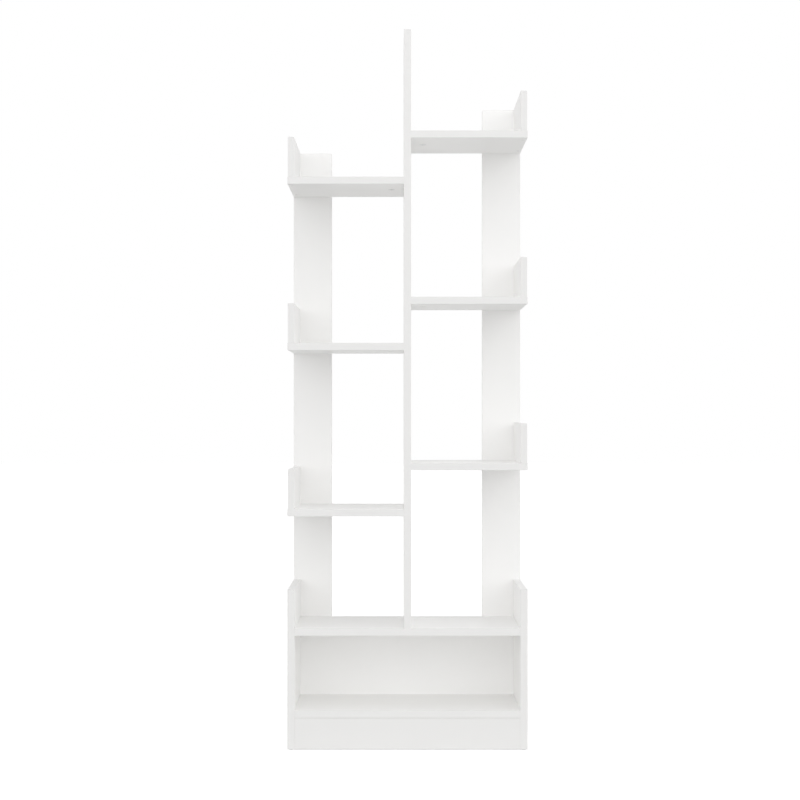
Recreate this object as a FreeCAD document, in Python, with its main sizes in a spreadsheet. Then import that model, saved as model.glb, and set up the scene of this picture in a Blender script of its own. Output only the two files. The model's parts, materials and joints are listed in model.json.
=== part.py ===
import FreeCAD, Part
import os
import re

# A tree shaped bookcase: a base box, a tall divider on it, and staggered shelves on both sides of that.
# Millimetres. +Z is up from the floor, +X is to the right seen from the front, and the front faces -Y.
# The origin is on the floor, under the middle of the object's box.

# Driving dimensions: name, value and what it sets.
SIZES = (
    ("overall_width", 500, "across the base and the outer ends of the shelves"),
    ("overall_height", 1500, "floor to the top of the divider"),
    ("shelf_depth", 225, "front to rear of the shelves, the divider and the base"),
    ("board_thickness", 15, "all boards but the end boards and the base back"),
    ("edge_radius", 0.5, "eased edges of the boards"),
    ("plinth_height", 65.5, "room for the board under the front of the base"),
    ("plinth_gap", 0.25, "play between that board and the base bottom"),
    ("compartment_height", 156, "clear height inside the base"),
    ("side_rise", 81.5, "base sides above the base top"),
    ("left_first_rise", 248.5, "base top to the top of the lowest left shelf"),
    ("right_first_rise", 344.5, "base top to the top of the lowest right shelf"),
    ("shelf_pitch", 346, "from one shelf to the next on the same side"),
    ("end_board_height", 83, "boards that stand on the shelf ends"),
    ("end_board_thickness", 13, "boards that stand on the shelf ends"),
    ("end_board_inset", 1, "shelf end to the outer face of its end board"),
    ("upright_width", 84, "boards behind the shelf ends"),
    ("upright_drop", 2, "top of an end board to the top of the upright behind it"),
    ("back_thickness", 3, "panel at the back of the base"),
    ("back_tongue", 4, "how far the back goes into the grooves around it"),
    ("back_setback", 5, "rear of the base to the back panel's groove"),
    ("fixing_setback", 37, "front or rear edge to the first fixing of a joint"),
    ("fixing_step", 32, "from the first fixing to the next one"),
    ("dowel_diameter", 8, "wooden dowels"),
    ("dowel_length", 30, "wooden dowels"),
    ("dowel_seat", 10, "how far a dowel goes into the face of a board"),
    ("dowel_bevel", 1, "bevelled ends of a dowel"),
    ("cam_diameter", 15, "cam housings"),
    ("cam_height", 12, "cam housings"),
    ("cam_setback", 26, "joint to the axis of the cam housing"),
    ("shelf_cam_setback", 100, "front edge to the cam under a shelf"),
    ("cam_slot_length", 9, "cross slot in the cam's face"),
    ("cam_slot_width", 1.6, "cross slot in the cam's face"),
    ("cam_slot_depth", 2.4, "cross slot in the cam's face"),
    ("bolt_thread_diameter", 6, "cam bolt in the face of a board"),
    ("bolt_thread_length", 11, "cam bolt in the face of a board"),
    ("bolt_shank_diameter", 6, "cam bolt between joint and cam"),
    ("bolt_neck_diameter", 4, "neck that the cam grips"),
    ("bolt_neck_length", 4, "neck that the cam grips"),
    ("bolt_head_diameter", 7, "head of the cam bolt"),
    ("bolt_head_length", 3, "head of the cam bolt"),
    ("end_screw_diameter", 3.5, "screws up into the end boards"),
    ("end_screw_length", 35, "screws up into the end boards"),
    ("end_screw_head", 7, "head diameter"),
    ("end_screw_setback", 36, "front or rear edge to the screw"),
    ("upright_screw_diameter", 4, "screws through the uprights"),
    ("upright_screw_length", 40, "screws through the uprights"),
    ("upright_screw_head", 8, "head diameter"),
    ("upright_screw_inset", 25, "upright's edge to the screw"),
    ("divider_screw_diameter", 4, "screws up into the divider"),
    ("divider_screw_length", 50, "screws up into the divider"),
    ("divider_screw_head", 8, "head diameter"),
    ("drive_slot_width", 0.9, "cross slot in a screw head"),
    ("drive_slot_depth", 1.4, "cross slot in a screw head"),
    ("plinth_cam_rise", 22, "plinth's lower edge to its cam bolt"),
    ("plinth_dowel_rise", 46, "plinth's lower edge to its dowel"),
    ("glide_height", 1, "feet under the base sides"),
    ("glide_diameter", 10, "feet under the base sides"),
    ("glide_bevel", 0.3, "lower rim of a foot"),
    ("glide_setback", 6, "front or rear edge to the middle of a foot"),
    ("nail_diameter", 2, "nail of a foot"),
    ("nail_length", 12, "nail of a foot"),
    ("fit_clearance", 0.1, "between a fitting or panel and its bore or groove"),
    ("depth_clearance", 0.5, "left at the bottom of a bore or groove"),
    ("flush_depth", 0.3, "fittings below the face that they are let into"),
    ("overrun", 2, "how far a cut starts outside its board"),
)

DRIVE_SLOT_SHARE = 0.6  # length of a screw's cross slot, of its head's diameter

# Places, as expressions of the sizes.
FRONT = "(-(shelf_depth + board_thickness) / 2)"
REAR = f"({FRONT} + shelf_depth)"
OUTSIDE = "(overall_width / 2)"
INSIDE = "(overall_width / 2 - board_thickness)"
DIVIDER_FACE = "(board_thickness / 2)"
UPRIGHT_EDGE = "(overall_width / 2 - upright_width)"
UPRIGHT_BACK = f"({REAR} + board_thickness)"
BASE_UNDERSIDE = "(glide_height + plinth_height)"
BASE_FLOOR = f"({BASE_UNDERSIDE} + board_thickness)"
BASE_CEILING = f"({BASE_FLOOR} + compartment_height)"
BASE_TOP = f"({BASE_CEILING} + board_thickness)"
FIRST_FIXINGS = (f"({FRONT} + fixing_setback)", f"({REAR} - fixing_setback)")
NEXT_FIXINGS = (f"({FRONT} + fixing_setback + fixing_step)", f"({REAR} - fixing_setback - fixing_step)")
BOLT_PASSAGE = "max(bolt_head_diameter; bolt_shank_diameter)"

SIDES = ("left", "right")
LEVELS = ("low", "mid", "top")
DIRECTIONS = {
    "left": FreeCAD.Vector(-1, 0, 0),
    "right": FreeCAD.Vector(1, 0, 0),
    "front": FreeCAD.Vector(0, -1, 0),
    "rear": FreeCAD.Vector(0, 1, 0),
    "down": FreeCAD.Vector(0, 0, -1),
    "up": FreeCAD.Vector(0, 0, 1),
}
OPPOSITE = {"left": "right", "right": "left", "front": "rear", "rear": "front", "down": "up", "up": "down"}
COORDINATES = ("x", "y", "z")

doc = FreeCAD.newDocument("TreeBookcase")
sheet = doc.addObject("Spreadsheet::Sheet", "Sizes")
for row, (size_name, value, use) in enumerate(SIZES, start=1):
    sheet.set(f"A{row}", size_name)
    sheet.set(f"B{row}", str(value))
    sheet.set(f"C{row}", use)
    sheet.setAlias(f"B{row}", size_name)
doc.recompute()

SIZE_WORD = re.compile(r"\b(" + "|".join(size[0] for size in SIZES) + r")\b")

blanks = {}  # board name to its uncut blank
cuts = {}  # board name to the tools that cut it
fittings = {}  # group name to its placed fittings


# Binding and placing

def bind(feature, **properties):
    """Tie properties of a feature to expressions of the named sizes."""
    for name, expression in properties.items():
        feature.setExpression(name, SIZE_WORD.sub(r"Sizes.\g<0>", expression))


def place(feature, point):
    """Tie the position of a feature to a point."""
    for coordinate, expression in zip(COORDINATES, point):
        feature.setExpression(f"Placement.Base.{coordinate}", SIZE_WORD.sub(r"Sizes.\g<0>", expression))


def aim(feature, inward, toward=None):
    """Turn a feature's own Z axis to a direction, and its X axis to a second one where that matters."""
    if toward is None:
        rotation = FreeCAD.Rotation(DIRECTIONS["up"], DIRECTIONS[inward])
    else:
        rotation = FreeCAD.Rotation(DIRECTIONS[toward], FreeCAD.Vector(), DIRECTIONS[inward], "ZXY")
    feature.Placement = FreeCAD.Placement(FreeCAD.Vector(), rotation)


def shifted(point, direction, distance):
    """A point moved along a direction."""
    steps = DIRECTIONS[direction]
    return tuple(f"{at} + ({distance}) * {step:g}" if step else at for at, step in zip(point, steps))


def on_side(side, distance):
    """X of a place that is a distance from the middle, on one side."""
    return f"(-({distance}))" if side == "left" else f"({distance})"


# Boards and the cuts in them

def board(name, low, size):
    """A board with eased edges, from its lowest corner and its size along X, Y and Z."""
    body = doc.addObject("PartDesign::Body", f"{name}_blank")
    block = body.newObject("PartDesign::AdditiveBox", f"{name}_block")
    bind(block, Length=size[0], Width=size[1], Height=size[2])
    eased = body.newObject("PartDesign::Fillet", f"{name}_edges")
    eased.Base = (block, [""])
    eased.UseAllEdges = True
    bind(eased, Radius="edge_radius")
    place(body, low)
    blanks[name] = body
    cuts[name] = []


def side_board(name, side, inner, outer, low_y, depth, low_z, height):
    """A board between two distances from the middle, on one side."""
    low_x = on_side(side, outer if side == "left" else inner)
    board(name, (low_x, low_y, low_z), (f"{outer} - ({inner})", depth, height))


def bore(name, point, inward, diameter, depth):
    """Drill a board from a point on its face."""
    tool = doc.addObject("Part::Cylinder", f"{name}_bore")
    bind(tool, Radius=f"({diameter}) / 2 + fit_clearance", Height=f"overrun + {depth} + depth_clearance")
    aim(tool, inward)
    place(tool, shifted(point, OPPOSITE[inward], "overrun"))
    cuts[name].append(tool)


def countersink(name, point, inward, kind):
    """Sink a board for a screw head, whose sides slope by 45 degrees."""
    tool = doc.addObject("Part::Cone", f"{name}_sink")
    bind(
        tool,
        Radius1=f"{kind}_head / 2 + fit_clearance + flush_depth + overrun",
        Radius2=f"{kind}_diameter / 2 + fit_clearance",
        Height=f"overrun + flush_depth + ({kind}_head - {kind}_diameter) / 2",
    )
    aim(tool, inward)
    place(tool, shifted(point, OPPOSITE[inward], "overrun"))
    cuts[name].append(tool)


def groove(name, low, size):
    """Mill a straight groove in a board, from its lowest corner."""
    tool = doc.addObject("Part::Box", f"{name}_groove")
    bind(tool, Length=size[0], Width=size[1], Height=size[2])
    place(tool, low)
    cuts[name].append(tool)


# Fittings, each modelled once along +Z

def turned(name, steps):
    """A round fitting built up along its axis from steps of length, first diameter and last diameter."""
    body = doc.addObject("PartDesign::Body", name)
    reach = "0"
    for length, first, last in steps:
        if first == last:
            step = body.newObject("PartDesign::AdditiveCylinder", f"{name}_step")
            bind(step, Radius=f"({first}) / 2", Height=length)
        else:
            step = body.newObject("PartDesign::AdditiveCone", f"{name}_step")
            bind(step, Radius1=f"({first}) / 2", Radius2=f"({last}) / 2", Height=length)
        place(step, ("0", "0", reach))
        reach = f"{reach} + ({length})"
    return body


def cross_slot(body, length, width, depth):
    """A driver's cross in the first face of a fitting."""
    for along, across in ((length, width), (width, length)):
        slot = body.newObject("PartDesign::SubtractiveBox", f"{body.Name}_slot")
        bind(slot, Length=along, Width=across, Height=f"overrun + {depth}")
        place(slot, (f"-({along}) / 2", f"-({across}) / 2", "-overrun"))


def screw(kind):
    """A countersunk screw with its head's face at zero."""
    diameter, head = f"{kind}_diameter", f"{kind}_head"
    head_length = f"({head} - {diameter}) / 2"
    shank_length = f"{kind}_length - {head_length} - {diameter}"
    steps = (
        (head_length, head, diameter),
        (shank_length, diameter, diameter),
        (diameter, diameter, "0"),
    )
    body = turned(kind, steps)
    cross_slot(body, f"{head} * {DRIVE_SLOT_SHARE}", "drive_slot_width", "drive_slot_depth")
    return body


def dowel():
    """A wooden dowel with bevelled ends."""
    end = "dowel_diameter - 2 * dowel_bevel"
    straight = "dowel_length - 2 * dowel_bevel"
    steps = (
        ("dowel_bevel", end, "dowel_diameter"),
        (straight, "dowel_diameter", "dowel_diameter"),
        ("dowel_bevel", "dowel_diameter", end),
    )
    return turned("dowel", steps)


def cam_bolt():
    """A cam bolt, from the end of its thread to its head, which lies on the cam's axis."""
    shank_length = "cam_setback - bolt_neck_length - bolt_head_length / 2"
    steps = (
        ("bolt_thread_length", "bolt_thread_diameter", "bolt_thread_diameter"),
        (shank_length, "bolt_shank_diameter", "bolt_shank_diameter"),
        ("bolt_neck_length", "bolt_neck_diameter", "bolt_neck_diameter"),
        ("bolt_head_length", "bolt_head_diameter", "bolt_head_diameter"),
    )
    return turned("cam_bolt", steps)


def cam_housing():
    """A cam housing with its slotted face at zero and its mouth for the bolt towards +X."""
    body = turned("cam_housing", (("cam_height", "cam_diameter", "cam_diameter"),))
    mouth = body.newObject("PartDesign::SubtractiveCylinder", "cam_housing_mouth")
    bind(
        mouth,
        Radius=f"{BOLT_PASSAGE} / 2 + fit_clearance",
        Height="cam_diameter / 2 + overrun + bolt_head_length / 2 + depth_clearance",
    )
    aim(mouth, "right")
    place(mouth, ("-(bolt_head_length / 2 + depth_clearance)", "0", "board_thickness / 2 - flush_depth"))
    cross_slot(body, "cam_slot_length", "cam_slot_width", "cam_slot_depth")
    return body


def glide():
    """A nail-on foot, from the floor up."""
    rim = "glide_diameter - 2 * glide_bevel"
    steps = (
        ("glide_bevel", rim, "glide_diameter"),
        ("glide_height - glide_bevel", "glide_diameter", "glide_diameter"),
        ("nail_length - nail_diameter", "nail_diameter", "nail_diameter"),
        ("nail_diameter", "nail_diameter", "0"),
    )
    return turned("glide", steps)


patterns = {
    "dowel": dowel(),
    "cam_bolt": cam_bolt(),
    "cam_housing": cam_housing(),
    "glide": glide(),
    "end_screw": screw("end_screw"),
    "upright_screw": screw("upright_screw"),
    "divider_screw": screw("divider_screw"),
}


def fit(group, kind, point, inward, toward=None):
    """Put a copy of a fitting in its place, as one of a group."""
    copy = doc.addObject("App::Link", f"{group}_one")
    copy.LinkedObject = patterns[kind]
    aim(copy, inward, toward)
    place(copy, point)
    fittings.setdefault(group, []).append(copy)


# Joints: each fitting and the bores for it come from one point

def dowel_joint(group, edge_board, face_board, point, inward):
    """A dowel from the face of one board into the edge of another."""
    outward = OPPOSITE[inward]
    bore(face_board, point, outward, "dowel_diameter", "dowel_seat")
    bore(edge_board, point, inward, "dowel_diameter", "dowel_length - dowel_seat")
    fit(group, "dowel", shifted(point, outward, "dowel_seat"), inward)


def cam_joint(group, edge_board, face_board, point, inward, open_side):
    """A cam bolt from the face of one board into the edge of another, and the cam that pulls it in."""
    outward = OPPOSITE[inward]
    bore(face_board, point, outward, "bolt_thread_diameter", "bolt_thread_length")
    bore(edge_board, point, inward, BOLT_PASSAGE, "cam_setback")
    fit(f"{group}_cam_bolts", "cam_bolt", shifted(point, outward, "bolt_thread_length"), inward)
    axis = shifted(point, inward, "cam_setback")
    face = shifted(axis, open_side, "board_thickness / 2")
    upward = OPPOSITE[open_side]
    bore(edge_board, face, upward, "cam_diameter", "flush_depth + cam_height")
    fit(f"{group}_cam_housings", "cam_housing", shifted(face, upward, "flush_depth"), upward, outward)


def screw_joint(group, kind, face_board, edge_board, point, inward):
    """A screw through one board, from a point on its outer face, into the edge of another."""
    bore(face_board, point, inward, f"{kind}_diameter", "board_thickness")
    countersink(face_board, point, inward, kind)
    seat = shifted(point, inward, "board_thickness")
    bore(edge_board, seat, inward, f"{kind}_diameter", f"{kind}_length + flush_depth - board_thickness")
    fit(group, kind, shifted(point, inward, "flush_depth"), inward)


def shelf_top(side, level):
    """Z of a shelf's upper face."""
    return f"({BASE_TOP} + {side}_first_rise + shelf_pitch * {level})"


# The base box

def base_boards():
    """The boards of the base, without the grooves for its back."""
    inner_width = f"2 * {INSIDE}"
    side_height = f"{BASE_TOP} + side_rise - glide_height"
    for side in SIDES:
        name = f"base_{side}_side"
        side_board(name, side, INSIDE, OUTSIDE, FRONT, "shelf_depth", "glide_height", side_height)
    level_size = (inner_width, "shelf_depth", "board_thickness")
    board("base_top", (f"-{INSIDE}", FRONT, BASE_CEILING), level_size)
    board("base_bottom", (f"-{INSIDE}", FRONT, BASE_UNDERSIDE), level_size)
    plinth_size = (inner_width, "board_thickness", "plinth_height - plinth_gap")
    board("plinth", (f"-{INSIDE}", FRONT, "glide_height"), plinth_size)


def base_back():
    """The thin back, held in grooves in the four boards around it."""
    groove_width = "(back_thickness + 2 * fit_clearance)"
    groove_depth = "(back_tongue + depth_clearance)"
    groove_y = f"({REAR} - back_setback - {groove_width})"
    low = (f"-({INSIDE} + back_tongue)", f"{groove_y} + fit_clearance", f"{BASE_FLOOR} - back_tongue")
    size = (f"2 * ({INSIDE} + back_tongue)", "back_thickness", "compartment_height + 2 * back_tongue")
    board("base_back", low, size)
    long_cut = (f"2 * ({INSIDE} + overrun)", groove_width, f"{groove_depth} + overrun")
    groove("base_bottom", (f"-({INSIDE} + overrun)", groove_y, f"{BASE_FLOOR} - {groove_depth}"), long_cut)
    groove("base_top", (f"-({INSIDE} + overrun)", groove_y, f"{BASE_CEILING} - overrun"), long_cut)
    for side in SIDES:
        inner, outer = f"{INSIDE} - overrun", f"{INSIDE} + {groove_depth}"
        low_x = on_side(side, outer if side == "left" else inner)
        tall_cut = (f"overrun + {groove_depth}", groove_width, f"compartment_height + 2 * {groove_depth}")
        groove(f"base_{side}_side", (low_x, groove_y, f"{BASE_FLOOR} - {groove_depth}"), tall_cut)


def base_joints():
    """Cams and dowels at both ends of the base top, base bottom and plinth, and the feet."""
    levels = {"base_top": BASE_CEILING, "base_bottom": BASE_UNDERSIDE}
    for side in SIDES:
        side_name = f"base_{side}_side"
        inward = OPPOSITE[side]
        end_x = on_side(side, INSIDE)
        for name, underside in levels.items():
            middle = f"{underside} + board_thickness / 2"
            for y in FIRST_FIXINGS:
                cam_joint("base", name, side_name, (end_x, y, middle), inward, "down")
            for y in NEXT_FIXINGS:
                dowel_joint("base_dowels", name, side_name, (end_x, y, middle), inward)
        plinth_y = f"{FRONT} + board_thickness / 2"
        cam_point = (end_x, plinth_y, "glide_height + plinth_cam_rise")
        cam_joint("plinth", "plinth", side_name, cam_point, inward, "rear")
        dowel_point = (end_x, plinth_y, "glide_height + plinth_dowel_rise")
        dowel_joint("plinth_dowels", "plinth", side_name, dowel_point, inward)
        foot_x = on_side(side, f"{INSIDE} + board_thickness / 2")
        for y in (f"{FRONT} + glide_setback", f"{REAR} - glide_setback"):
            bore(side_name, (foot_x, y, "glide_height"), "up", "nail_diameter", "nail_length")
            fit("glide_feet", "glide", (foot_x, y, "0"), "up")


# The divider, the shelves with their end boards, and the rear uprights

def divider():
    """The tall board on the base top, screwed and dowelled to it from below."""
    size = ("board_thickness", "shelf_depth", f"overall_height - {BASE_TOP}")
    board("centre_divider", (f"-{DIVIDER_FACE}", FRONT, BASE_TOP), size)
    for y in FIRST_FIXINGS:
        point = ("0", y, BASE_CEILING)
        screw_joint("divider_screws", "divider_screw", "base_top", "centre_divider", point, "up")
    for y in NEXT_FIXINGS:
        dowel_joint("divider_dowels", "centre_divider", "base_top", ("0", y, BASE_TOP), "up")


def shelf(side, level, level_name):
    """One shelf, hung on the divider, with its end board."""
    name, end_name = f"{side}_{level_name}_shelf", f"{side}_{level_name}_end_board"
    top = shelf_top(side, level)
    underside = f"{top} - board_thickness"
    middle = f"{top} - board_thickness / 2"
    side_board(name, side, DIVIDER_FACE, OUTSIDE, FRONT, "shelf_depth", underside, "board_thickness")
    joint_x = on_side(side, DIVIDER_FACE)
    cam_point = (joint_x, f"{FRONT} + shelf_cam_setback", middle)
    cam_joint("shelf", name, "centre_divider", cam_point, side, "down")
    for y in FIRST_FIXINGS:
        dowel_joint("shelf_dowels", name, "centre_divider", (joint_x, y, middle), side)
    outer = f"({OUTSIDE} - end_board_inset)"
    inner = f"({outer} - end_board_thickness)"
    side_board(end_name, side, inner, outer, FRONT, "shelf_depth", top, "end_board_height")
    screw_x = on_side(side, f"{outer} - end_board_thickness / 2")
    for y in (f"{FRONT} + end_screw_setback", f"{REAR} - end_screw_setback"):
        screw_joint("end_board_screws", "end_screw", name, end_name, (screw_x, y, underside), "up")


def upright(side):
    """A rear upright, nearly as tall as the top end board, screwed to the shelves and the base."""
    name = f"{side}_rear_upright"
    height = f"{shelf_top(side, len(LEVELS) - 1)} + end_board_height - upright_drop - glide_height"
    side_board(name, side, UPRIGHT_EDGE, OUTSIDE, REAR, "board_thickness", "glide_height", height)
    rows = {"base_bottom": BASE_FLOOR, "base_top": BASE_TOP}
    for level, level_name in enumerate(LEVELS):
        rows[f"{side}_{level_name}_shelf"] = shelf_top(side, level)
    for edge_board, top in rows.items():
        for distance in (f"{UPRIGHT_EDGE} + upright_screw_inset", f"{OUTSIDE} - upright_screw_inset"):
            point = (on_side(side, distance), UPRIGHT_BACK, f"{top} - board_thickness / 2")
            screw_joint("upright_screws", "upright_screw", name, edge_board, point, "front")


base_boards()
base_back()
base_joints()
divider()
for shelf_side in SIDES:
    for shelf_level, shelf_level_name in enumerate(LEVELS):
        shelf(shelf_side, shelf_level, shelf_level_name)
    upright(shelf_side)


# Cut the boards, group the fittings, test everything and write it

def finished_board(name):
    """A board with all its bores and grooves."""
    if not cuts[name]:
        blanks[name].Label = name
        return blanks[name]
    tools = doc.addObject("Part::MultiFuse", f"{name}_tools")
    tools.Shapes = cuts[name]
    whole = doc.addObject("Part::Cut", name)
    whole.Base = blanks[name]
    whole.Tool = tools
    whole.Label = name
    return whole


def finished_group(name):
    """All fittings of one group, as separate solids."""
    group = doc.addObject("Part::Compound", name)
    group.Links = fittings[name]
    group.Label = name
    return group


nodes = [finished_board(name) for name in blanks] + [finished_group(name) for name in fittings]
doc.recompute()

for item in doc.Objects:
    if "Invalid" in item.State or "Error" in item.State:
        raise RuntimeError(f"{item.Label} failed: {item.State}")
for node in nodes:
    if node.Shape.isNull() or not node.Shape.isValid():
        raise RuntimeError(f"{node.Label} has no valid shape")
    wanted_solids = len(fittings.get(node.Label, [node]))
    if len(node.Shape.Solids) != wanted_solids:
        raise RuntimeError(f"{node.Label} has {len(node.Shape.Solids)} solids, not {wanted_solids}")
for name, tools in cuts.items():
    whole = doc.getObjectsByLabel(name)[0]
    if tools and whole.Shape.Volume >= blanks[name].Shape.Volume:
        raise RuntimeError(f"the cuts in {name} miss it")

os.makedirs("parts", exist_ok=True)
for node in nodes:
    node.Shape.exportStep(os.path.join("parts", f"{node.Label}.step"))
    box = node.Shape.BoundBox
    extent = f"{box.XLength:.1f} x {box.YLength:.1f} x {box.ZLength:.1f} mm"
    print(f"{node.Label}: {len(node.Shape.Solids)} solids in {extent}")
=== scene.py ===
import json
import math

import bpy
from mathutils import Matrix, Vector


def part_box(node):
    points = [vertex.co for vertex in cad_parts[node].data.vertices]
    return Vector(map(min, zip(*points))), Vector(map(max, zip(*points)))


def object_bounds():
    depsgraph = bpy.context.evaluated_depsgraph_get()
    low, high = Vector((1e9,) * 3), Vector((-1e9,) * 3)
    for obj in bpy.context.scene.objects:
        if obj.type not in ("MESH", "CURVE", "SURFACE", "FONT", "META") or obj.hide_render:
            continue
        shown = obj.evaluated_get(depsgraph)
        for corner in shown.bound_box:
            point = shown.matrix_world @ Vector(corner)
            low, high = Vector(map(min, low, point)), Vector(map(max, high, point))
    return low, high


# A white tree shaped bookcase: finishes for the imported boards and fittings, a pale floor, soft light
# and a camera.
# Metres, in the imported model's frame: +Z is up from the floor, and the front faces -Y.

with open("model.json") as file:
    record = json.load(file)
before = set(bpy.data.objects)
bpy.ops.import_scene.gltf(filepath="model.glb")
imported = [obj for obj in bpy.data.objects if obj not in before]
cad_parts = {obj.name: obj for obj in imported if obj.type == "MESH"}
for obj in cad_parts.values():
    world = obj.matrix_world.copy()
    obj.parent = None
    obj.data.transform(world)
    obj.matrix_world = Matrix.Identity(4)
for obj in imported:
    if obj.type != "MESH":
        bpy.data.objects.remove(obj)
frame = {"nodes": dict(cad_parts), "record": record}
cad_low, cad_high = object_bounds()

# Where the photograph's frame has the object, in pixels.
PHOTO_WIDTH = 800
PHOTO_CENTRE = (400, 400)
EYE_PIXEL = (398, 412)  # where lines that run straight back meet
MIDDLE_PIXEL = 407.5  # middle of the divider's front edge
FLOOR_PIXEL = 750
TOP_PIXEL = 29

# Camera
CAMERA_DISTANCE = 3.66  # to the front edges of the boards
SENSOR_WIDTH = 36.0  # millimetres, as the lens is
LEVEL_TILT = math.pi / 2  # of a camera that looks neither up nor down

# Patterns
NOISE_SPAN = (0.3, 0.7)  # where most of a noise's values lie
SOFT_DETAIL = 2.0  # octaves of noise
GRAIN_DETAIL = 4.0
FIBRE_DETAIL = 6.0
GRAINS_TO_CLOUD = 8  # across a soft patch of a mottled finish
RELIEF_SCALE = 1.0  # reliefs are written in metres

# Melamine boards
FACE_WHITE = (0.940, 0.937, 0.930, 1)
FACE_SHADE = (0.926, 0.923, 0.916, 1)
SHADED_STRIP_WHITE = (0.818, 0.815, 0.808, 1)  # painted shade: a darker white on the strips of the front edges, and on the plinth's face
SHADED_STRIP_MOTTLE = (0.812, 0.809, 0.802, 1)
SHADE_PAINTED_FACES = ("plinth",)  # boards whose faces get the darker white as painted shade, for less light low down
SEAM_GREY = (0.60, 0.585, 0.56, 1)
SEAM_SHARE = 0.5  # of that grey in the middle of a seam
CORE_CHIP = (0.56, 0.41, 0.26, 1)
CORE_DARK = (0.25, 0.16, 0.09, 1)
FACE_ROUGHNESS = (0.50, 0.60)
BAND_ROUGHNESS = 0.44
CORE_ROUGHNESS = 0.92
BOARD_SPECULAR = 0.35
BAND_THICKNESS = 0.0008  # plastic strip glued round the edges
SEAM_WIDTH = 0.00018  # glue line beside that strip
SEAM_DEPTH = 0.000012
BAND_END = (BAND_THICKNESS - SEAM_WIDTH, BAND_THICKNESS)  # where the strip gives way to the face
SKIN_DEPTH = (0.0003, 0.0004)  # below this a bore or groove shows the core
PEARL_GRAIN = 0.00045
PEARL_RELIEF = 0.000012
CHIP_GRAIN = 0.006  # chips that show faintly through the face
CHIP_RELIEF = 0.000006
CLOUD_GRAIN = 0.16
CORE_GRAIN = 0.0016
CORE_RELIEF = 0.00025

# Hardboard back
PAINT_WHITE = (0.956, 0.955, 0.951, 1)
PAINT_SHADE = (0.942, 0.941, 0.937, 1)
FIBRE_LIGHT = (0.36, 0.235, 0.135, 1)
FIBRE_DARK = (0.20, 0.12, 0.062, 1)
PAINT_ROUGHNESS = 0.62
FIBRE_ROUGHNESS = 0.85
PAINT_DEPTH = (0.0004, 0.0005)
FIBRE_GRAIN = 0.0012
FIBRE_RELIEF = 0.00004

# Fittings
ZINC_LIGHT = (0.78, 0.78, 0.79, 1)
ZINC_DARK = (0.62, 0.62, 0.63, 1)
ZINC_ROUGHNESS = (0.36, 0.52)
ZINC_GRAIN = 0.0007
ZINC_RELIEF = 0.00002
STEEL_LIGHT = (0.74, 0.74, 0.75, 1)
STEEL_DARK = (0.60, 0.59, 0.57, 1)
STEEL_ROUGHNESS = (0.20, 0.34)
STEEL_GRAIN = 0.0011
STEEL_RELIEF = 0.000008
BEECH_LIGHT = (0.74, 0.56, 0.38, 1)
BEECH_DARK = (0.58, 0.40, 0.24, 1)
BEECH_ROUGHNESS = 0.6
BEECH_GRAIN = 0.0006
BEECH_RELIEF = 0.00003
BEECH_STRETCH = 0.08
PLASTIC_LIGHT = (0.66, 0.66, 0.65, 1)
PLASTIC_DARK = (0.60, 0.60, 0.59, 1)
PLASTIC_ROUGHNESS = (0.42, 0.56)
PLASTIC_GRAIN = 0.0004
PLASTIC_RELIEF = 0.000015

# Light and floor
FRONT_WALL = 1.40  # strength of the surroundings straight ahead of the object
REAR_WALL = 0.55
LEFT_WALL = 0.72
RIGHT_WALL = 0.87
LAMP_AIM = (0.0, 0.0, 0.9)  # a little above the middle of the object
TOP_LAMP_PLACE = (0.0, -0.8, 2.9)
TOP_LAMP_SIZE = 1.0
TOP_LAMP_POWER = 2.75
KEY_LAMP_PLACE = (2.2, -0.8, 2.4)
KEY_LAMP_SIZE = 1.0
KEY_LAMP_POWER = 3.25
FLOOR_SIZE = 40.0
FLOOR_COLOUR = (0.80, 0.80, 0.795, 1)
FLOOR_SHADE = (0.785, 0.785, 0.78, 1)
FLOOR_GRAIN = 0.5
FLOOR_ROUGHNESS = 0.8
FLOOR_GLOW = 0.5  # with the light on it, white where it is seen
WHITE = (1, 1, 1, 1)
LIGHT_BOUNCES = 12  # between white boards

AXES = "XYZ"
FIRST_COLOUR, LAST_COLOUR, MIXED_COLOUR = 6, 7, 2  # sockets of a Mix node


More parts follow.
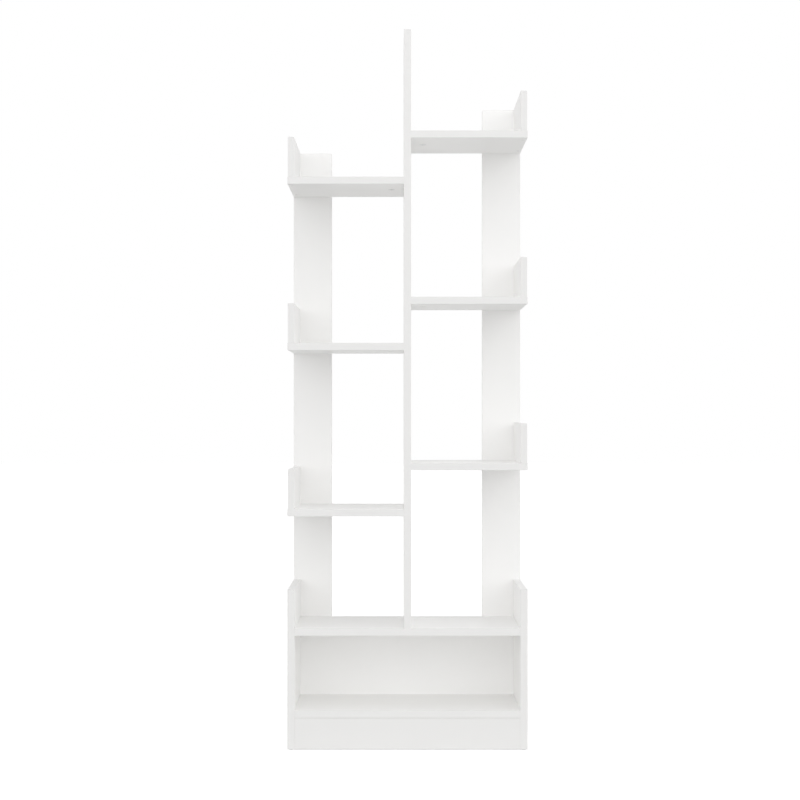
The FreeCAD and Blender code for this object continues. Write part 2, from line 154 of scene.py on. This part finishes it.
class Nodes:
    """The nodes of a material or of the surroundings, with short ways to add more."""

    def __init__(self, tree, coordinates):
        self.tree = tree
        self.place = self.add("TexCoord").outputs[coordinates]

    def add(self, kind, inputs=None, **settings):
        """A node with its settings, and with values or links at its inputs."""
        made = self.tree.nodes.new(f"ShaderNode{kind}")
        for name, value in settings.items():
            setattr(made, name, value)
        self.feed(made, inputs or {})
        return made

    def feed(self, made, inputs):
        """Set or link a node's inputs."""
        for name, value in inputs.items():
            if isinstance(value, bpy.types.NodeSocket):
                self.tree.links.new(value, made.inputs[name])
            else:
                made.inputs[name].default_value = value

    def calc(self, operation, *values):
        """The result of a sum on numbers."""
        return self.add("Math", dict(enumerate(values)), operation=operation).outputs[0]

    def calc_vector(self, operation, *values):
        """The result of a sum on vectors."""
        return self.add("VectorMath", dict(enumerate(values)), operation=operation).outputs[0]

    def ease(self, value, start, end, first=0.0, last=1.0):
        """A number that goes smoothly from first to last while a value goes from start to end."""
        inputs = {"Value": value, "From Min": start, "From Max": end, "To Min": first, "To Max": last}
        return self.add("MapRange", inputs, interpolation_type="SMOOTHSTEP").outputs[0]

    def mix(self, share, first, last):
        """A colour between two."""
        inputs = {0: share, FIRST_COLOUR: first, LAST_COLOUR: last}
        return self.add("Mix", inputs, data_type="RGBA").outputs[MIXED_COLOUR]

    def noise(self, grain, detail=SOFT_DETAIL, place=None):
        """Soft noise, from 0 to 1, with grains of a size."""
        inputs = {"Vector": place or self.place, "Scale": 1 / grain, "Detail": detail}
        return self.add("TexNoise", inputs).outputs[0]

    def cells(self, grain):
        """A random number for each cell of a size."""
        colour = self.add("TexVoronoi", {"Vector": self.place, "Scale": 1 / grain}).outputs["Color"]
        return self.add("SeparateColor", {0: colour}).outputs[0]

    def relief(self, *layers):
        """The normal of a surface with layers of height, each a pattern and its relief."""
        height = 0.0
        for pattern, depth in layers:
            height = self.calc("MULTIPLY_ADD", pattern, depth, height)
        return self.add("Bump", {"Height": height, "Distance": RELIEF_SCALE}).outputs[0]


class Finish(Nodes):
    """A material, with its shader."""

    def __init__(self, name):
        self.material = bpy.data.materials.new(name)
        self.material.use_nodes = True
        super().__init__(self.material.node_tree, "Object")
        self.shader = self.tree.nodes["Principled BSDF"]

    def finish(self, **inputs):
        """Feed the shader, and give the material back."""
        self.feed(self.shader, {name.replace("_", " "): value for name, value in inputs.items()})
        return self.material


def depth_below(finish, low, high):
    """How far a point lies below each pair of a box's faces, along X, Y and Z."""
    from_low = finish.calc_vector("SUBTRACT", finish.place, low)
    from_high = finish.calc_vector("SUBTRACT", high, finish.place)
    nearest = finish.calc_vector("MINIMUM", from_low, from_high)
    return finish.add("SeparateXYZ", {0: nearest}).outputs


def behind_front(finish, low):
    """How far a point lies behind the front of a box."""
    return finish.calc("SUBTRACT", finish.add("SeparateXYZ", {0: finish.place}).outputs["Y"], low.y)


def melamine(name):
    """White melamine on particleboard, whose core is bare in the bores.

    A plastic strip runs round the edges, and on those in front a darker white is painted shade.
    """
    finish = Finish(f"melamine_{name}")
    low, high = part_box(name)
    size = high - low
    depths = depth_below(finish, low, high)
    thin = min(range(len(AXES)), key=lambda axis: size[axis])
    across, along = [depths[axis] for axis in range(len(AXES)) if axis != thin]
    from_edge = finish.calc("MINIMUM", across, along)
    below = finish.calc("MINIMUM", from_edge, depths[thin])

    pearl = finish.noise(PEARL_GRAIN)
    chips = finish.noise(CHIP_GRAIN)
    cloud = finish.noise(CLOUD_GRAIN)
    band = finish.ease(from_edge, *BAND_END, 1.0, 0.0)
    from_seam = finish.calc("ABSOLUTE", finish.calc("SUBTRACT", from_edge, BAND_THICKNESS))
    seam = finish.ease(from_seam, 0.0, SEAM_WIDTH, 1.0, 0.0)
    core = finish.ease(below, *SKIN_DEPTH)
    core_pattern = finish.cells(CORE_GRAIN)

    # painted shade: the plinth's face gets the darker white of the front strips
    whites = (SHADED_STRIP_WHITE, SHADED_STRIP_MOTTLE) if name in SHADE_PAINTED_FACES else (FACE_WHITE, FACE_SHADE)
    face = finish.mix(cloud, *whites)
    front_shaded = face
    has_front_edge = AXES[thin] != "Y"
    if has_front_edge:
        # painted shade: the strips on the front edges get a darker white than those on other edges
        painted_front_shade = finish.ease(behind_front(finish, low), *BAND_END, 1.0, 0.0)
        front_shaded = finish.mix(painted_front_shade, face, SHADED_STRIP_WHITE)
    seamed = finish.mix(finish.calc("MULTIPLY", seam, SEAM_SHARE), front_shaded, SEAM_GREY)
    colour = finish.mix(core, seamed, finish.mix(core_pattern, CORE_DARK, CORE_CHIP))
    face_gloss = finish.ease(cloud, *NOISE_SPAN, *FACE_ROUGHNESS)
    edge_gloss = finish.ease(band, 0.0, 1.0, face_gloss, BAND_ROUGHNESS)
    roughness = finish.ease(core, 0.0, 1.0, edge_gloss, CORE_ROUGHNESS)
    rough_core = finish.calc("MULTIPLY", core, core_pattern)
    normal = finish.relief(
        (pearl, PEARL_RELIEF),
        (chips, CHIP_RELIEF),
        (seam, -SEAM_DEPTH),
        (rough_core, CORE_RELIEF),
    )
    return finish.finish(
        Base_Color=colour, Roughness=roughness, Normal=normal, Specular_IOR_Level=BOARD_SPECULAR
    )


def hardboard(name):
    """A thin hardboard, painted white on its front and bare on its rear and edges."""
    finish = Finish(f"hardboard_{name}")
    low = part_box(name)[0]
    bare = finish.ease(behind_front(finish, low), *PAINT_DEPTH)
    fibre = finish.noise(FIBRE_GRAIN, FIBRE_DETAIL)
    cloud = finish.noise(CLOUD_GRAIN)
    pearl = finish.noise(PEARL_GRAIN)
    paint = finish.mix(cloud, PAINT_WHITE, PAINT_SHADE)
    wood = finish.mix(finish.ease(fibre, *NOISE_SPAN), FIBRE_DARK, FIBRE_LIGHT)
    colour = finish.mix(bare, paint, wood)
    roughness = finish.ease(bare, 0.0, 1.0, PAINT_ROUGHNESS, FIBRE_ROUGHNESS)
    normal = finish.relief((pearl, PEARL_RELIEF), (finish.calc("MULTIPLY", bare, fibre), FIBRE_RELIEF))
    return finish.finish(
        Base_Color=colour, Roughness=roughness, Normal=normal, Specular_IOR_Level=BOARD_SPECULAR
    )


def mottled(name, light, dark, roughness, grain, relief):
    """A finish that varies a little from spot to spot."""
    finish = Finish(name)
    mottle = finish.noise(grain, GRAIN_DETAIL)
    cloud = finish.noise(grain * GRAINS_TO_CLOUD)
    colour = finish.mix(finish.ease(cloud, *NOISE_SPAN), light, dark)
    gloss = finish.ease(mottle, *NOISE_SPAN, *roughness)
    normal = finish.relief((mottle, relief))
    return finish, {"Base_Color": colour, "Roughness": gloss, "Normal": normal}


def cast_zinc(name):
    """Dull die-cast zinc alloy."""
    finish, inputs = mottled(f"zinc_{name}", ZINC_LIGHT, ZINC_DARK, ZINC_ROUGHNESS, ZINC_GRAIN, ZINC_RELIEF)
    return finish.finish(Metallic=1.0, **inputs)


def plated_steel(name):
    """Steel with a bright plating."""
    finish, inputs = mottled(
        f"steel_{name}", STEEL_LIGHT, STEEL_DARK, STEEL_ROUGHNESS, STEEL_GRAIN, STEEL_RELIEF
    )
    return finish.finish(Metallic=1.0, **inputs)


def beech(name):
    """Turned beech, with its grain along the dowels."""
    finish = Finish(f"beech_{name}")
    upright = name == "divider_dowels"
    stretch = (1, 1, BEECH_STRETCH) if upright else (BEECH_STRETCH, 1, 1)
    place = finish.calc_vector("MULTIPLY", finish.place, stretch)
    grain = finish.noise(BEECH_GRAIN, GRAIN_DETAIL, place)
    colour = finish.mix(finish.ease(grain, *NOISE_SPAN), BEECH_DARK, BEECH_LIGHT)
    normal = finish.relief((grain, BEECH_RELIEF))
    return finish.finish(Base_Color=colour, Roughness=BEECH_ROUGHNESS, Normal=normal)


def glide_plastic(name):
    """Moulded light grey plastic."""
    finish, inputs = mottled(
        f"plastic_{name}", PLASTIC_LIGHT, PLASTIC_DARK, PLASTIC_ROUGHNESS, PLASTIC_GRAIN, PLASTIC_RELIEF
    )
    return finish.finish(**inputs)


FINISHES = {
    "white_board": melamine,
    "back_board": hardboard,
    "zinc_alloy": cast_zinc,
    "plated_steel": plated_steel,
    "beech": beech,
    "glide_plastic": glide_plastic,
}


def dress():
    """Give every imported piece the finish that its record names."""
    for subpart in frame["record"]["subparts"]:
        name, slot = subpart["node"], subpart["material_slot"]
        piece = frame["nodes"][name]
        material = FINISHES[slot](name)
        for place in piece.material_slots:
            place.material = material


def seen_directly(nodes):
    """1 for rays from the camera, mirrors and glass, and 0 for rays of light."""
    path = nodes.add("LightPath").outputs
    seen = nodes.calc("MAXIMUM", path["Is Camera Ray"], path["Is Glossy Ray"])
    return nodes.calc("MAXIMUM", seen, path["Is Transmission Ray"])


def floor():
    """A plain pale floor, white where it is seen, that keeps the shadow."""
    finish = Finish("pale_floor")
    cloud = finish.noise(FLOOR_GRAIN)
    colour = finish.mix(cloud, FLOOR_COLOUR, FLOOR_SHADE)
    glow = finish.calc("MULTIPLY", seen_directly(finish), FLOOR_GLOW)
    material = finish.finish(
        Base_Color=colour,
        Roughness=FLOOR_ROUGHNESS,
        Emission_Color=WHITE,
        Emission_Strength=glow,
        Specular_IOR_Level=0.0,
    )
    bpy.ops.mesh.primitive_plane_add(size=FLOOR_SIZE, location=(0, 0, cad_low.z))
    ground = bpy.context.object
    ground.name = "floor"
    ground.data.materials.append(material)


def surroundings():
    """Soft light from white walls on the four sides of the object, white where they are seen."""
    world = bpy.data.worlds.new("studio")
    world.use_nodes = True
    bpy.context.scene.world = world
    studio = Nodes(world.node_tree, "Generated")
    direction = studio.add("SeparateXYZ", {0: studio.place}).outputs
    light = 0.0
    for axis, low_wall, high_wall in (("X", LEFT_WALL, RIGHT_WALL), ("Y", FRONT_WALL, REAR_WALL)):
        low_light = studio.calc("MULTIPLY", direction[axis], -low_wall)
        high_light = studio.calc("MULTIPLY", direction[axis], high_wall)
        light = studio.calc("ADD", light, studio.calc("MAXIMUM", low_light, high_light))
    inputs = {"Value": seen_directly(studio), "To Min": light}
    strength = studio.add("MapRange", inputs).outputs[0]
    studio.feed(world.node_tree.nodes["Background"], {"Color": WHITE, "Strength": strength})


def lamp(name, place, size, power):
    """A square soft lamp, turned to the object."""
    data = bpy.data.lights.new(name, "AREA")
    data.size = size
    data.energy = power
    made = bpy.data.objects.new(name, data)
    made.location = place
    made.rotation_euler = (Vector(LAMP_AIM) - Vector(place)).to_track_quat("-Z", "Y").to_euler()
    bpy.context.scene.collection.objects.link(made)


def camera():
    """A level camera that looks straight back, framed as the photograph is."""
    pixel = (cad_high.z - cad_low.z) / (FLOOR_PIXEL - TOP_PIXEL)
    data = bpy.data.cameras.new("camera")
    data.sensor_width = SENSOR_WIDTH
    data.lens = SENSOR_WIDTH * CAMERA_DISTANCE / (PHOTO_WIDTH * pixel)
    data.shift_x = (PHOTO_CENTRE[0] - EYE_PIXEL[0]) / PHOTO_WIDTH
    data.shift_y = (EYE_PIXEL[1] - PHOTO_CENTRE[1]) / PHOTO_WIDTH
    made = bpy.data.objects.new("camera", data)
    made.location = (
        (EYE_PIXEL[0] - MIDDLE_PIXEL) * pixel,
        cad_low.y - CAMERA_DISTANCE,
        (FLOOR_PIXEL - EYE_PIXEL[1]) * pixel,
    )
    made.rotation_euler = (LEVEL_TILT, 0, 0)
    bpy.context.scene.collection.objects.link(made)
    bpy.context.scene.camera = made


dress()
floor()
surroundings()
lamp("top_lamp", TOP_LAMP_PLACE, TOP_LAMP_SIZE, TOP_LAMP_POWER)
lamp("key_lamp", KEY_LAMP_PLACE, KEY_LAMP_SIZE, KEY_LAMP_POWER)
camera()
bpy.context.scene.view_settings.view_transform = "Standard"
bpy.context.scene.cycles.diffuse_bounces = LIGHT_BOUNCES
